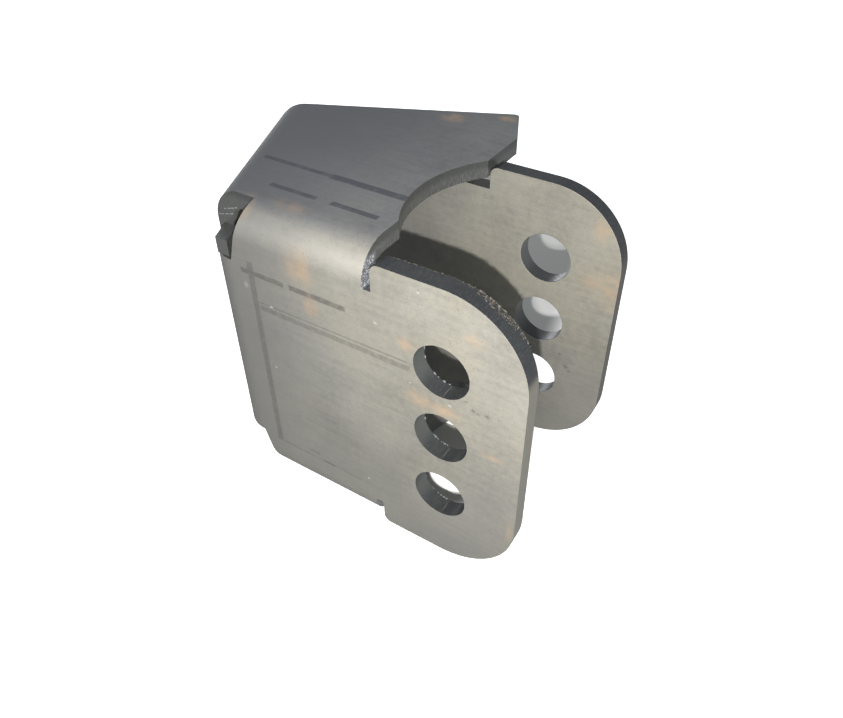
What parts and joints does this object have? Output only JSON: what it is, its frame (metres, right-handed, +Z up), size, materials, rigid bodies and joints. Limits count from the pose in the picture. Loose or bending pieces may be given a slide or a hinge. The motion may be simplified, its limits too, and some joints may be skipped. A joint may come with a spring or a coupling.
{
  "type": "frame link mount bracket",
  "caption": "Folded steel bracket with two bolt-hole ears for a suspension link, an open box behind them and an angled edge that welds to a frame rail.",
  "frame": {"origin": "on the axis of the middle bolt hole, midway between the ears", "axes": "+X out of the ears' free ends, +Y along the bolts from the folded ear to the loose ear, +Z up along the row of bolt holes"},
  "size_m": [0.1507, 0.1133, 0.1208],
  "materials": {
    "steel_plate": "hot-rolled, mill scale, unpainted"
  },
  "bodies": {
    "root": {"folded_body": "steel_plate", "loose_ear_plate": "steel_plate"}
  },
  "joints": []
}
